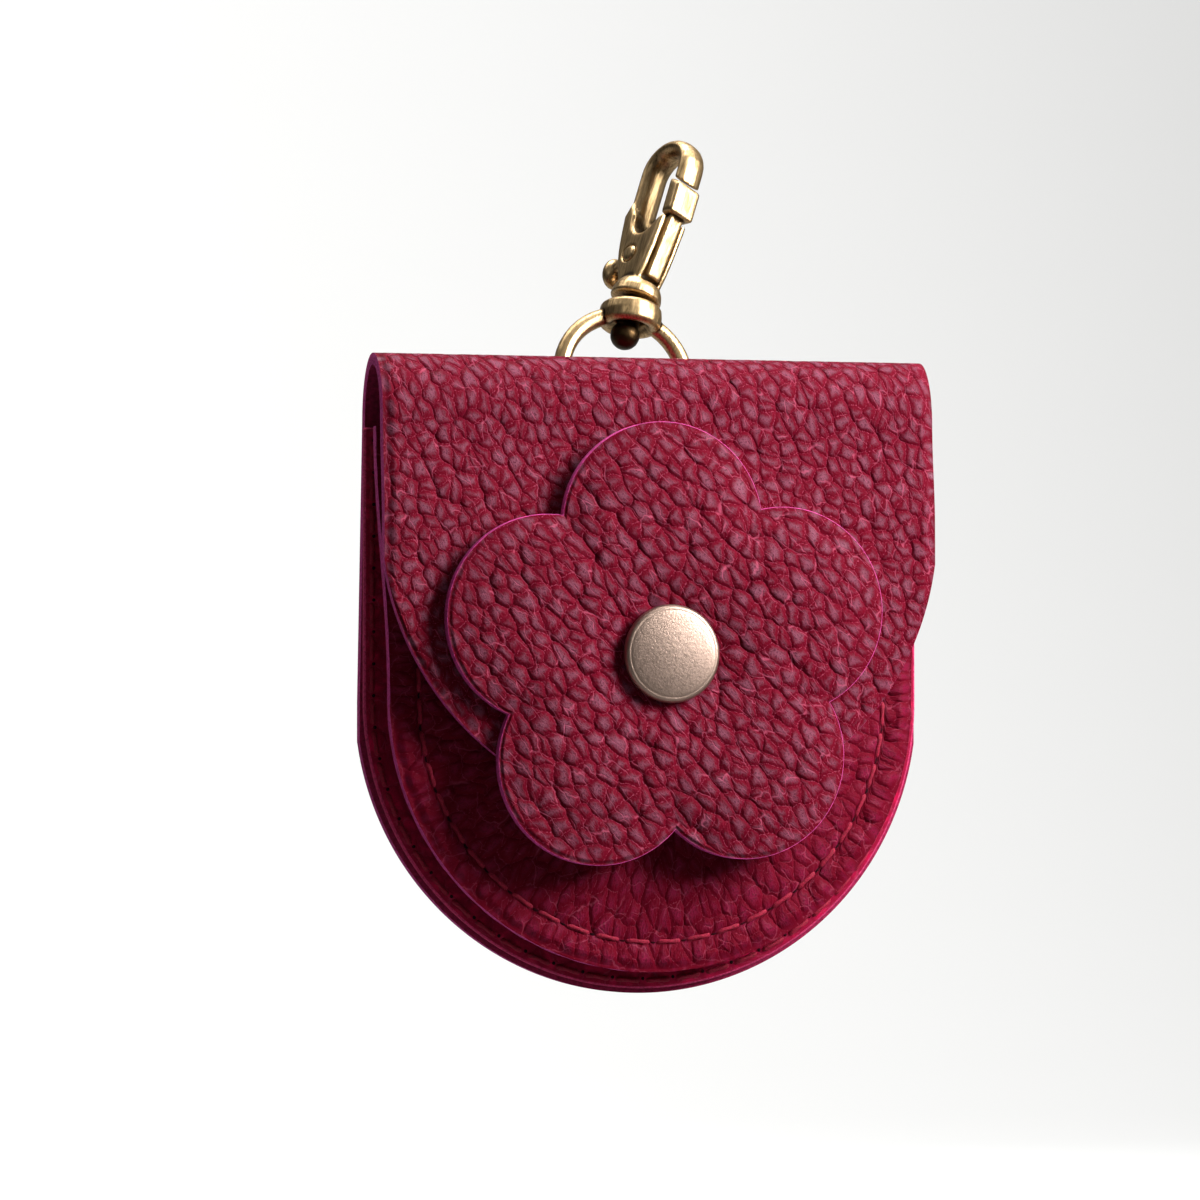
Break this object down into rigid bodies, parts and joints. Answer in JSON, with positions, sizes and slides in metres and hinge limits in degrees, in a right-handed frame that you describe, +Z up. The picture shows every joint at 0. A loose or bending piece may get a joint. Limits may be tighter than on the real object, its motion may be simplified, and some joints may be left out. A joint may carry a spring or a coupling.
{
  "type": "leather flap pouch with swivel trigger hook",
  "caption": "Small round-bottomed leather flap pouch with a petalled flower fastened to its flap by a snap, hung from a swivel trigger hook behind its top fold.",
  "frame": {"origin": "seat of the hook, the underside of its round crown, where the ring that carries the pouch bears", "axes": "+Z up, +X to the right seen from the flap, +Y from the flap towards the back panel"},
  "size_m": [0.0888, 0.0406, 0.1336],
  "materials": {
    "leather": "crimson pebble-grain leather with a soft sheen",
    "leather_inner": "thinner crimson leather, finer grain",
    "snap_brass": "satin antique brass",
    "antique_brass": "antique brass, dark in its recesses"
  },
  "bodies": {
    "hook": {"hook_body": "antique_brass", "gate_pin": "antique_brass"},
    "gate": {"hook_gate": "antique_brass"},
    "eye": {"swivel_eye": "antique_brass"},
    "pouch": {"back_flap": "leather", "front_panel": "leather", "gusset": "leather_inner", "flower": "leather", "snap_cap": "snap_brass", "snap_stud": "snap_brass", "hang_tab": "leather_inner"}
  },
  "joints": [
    {"name": "gate_lever", "type": "hinge", "parent": "hook", "child": "gate", "pos_m": [-0.00696, -0.00366, -0.0167], "axis": [-0.8316, -0.3572, 0.4252], "range_deg": [0, 20], "stiffness_Nm_per_rad": 0.004, "springref_deg": -5.73},
    {"name": "hook_swivel", "type": "hinge", "parent": "hook", "child": "eye", "pos_m": [-0.00892, -0.00707, -0.02338], "axis": [0.3429, 0.2719, 0.8992], "continuous": true},
    {"name": "eye_tilt", "type": "hinge", "parent": "eye", "child": "pouch", "pos_m": [-0.01214, -0.01122, -0.03749], "axis": [0.9816, 0, -0.1908], "range_deg": [-55, 110]}
  ]
}
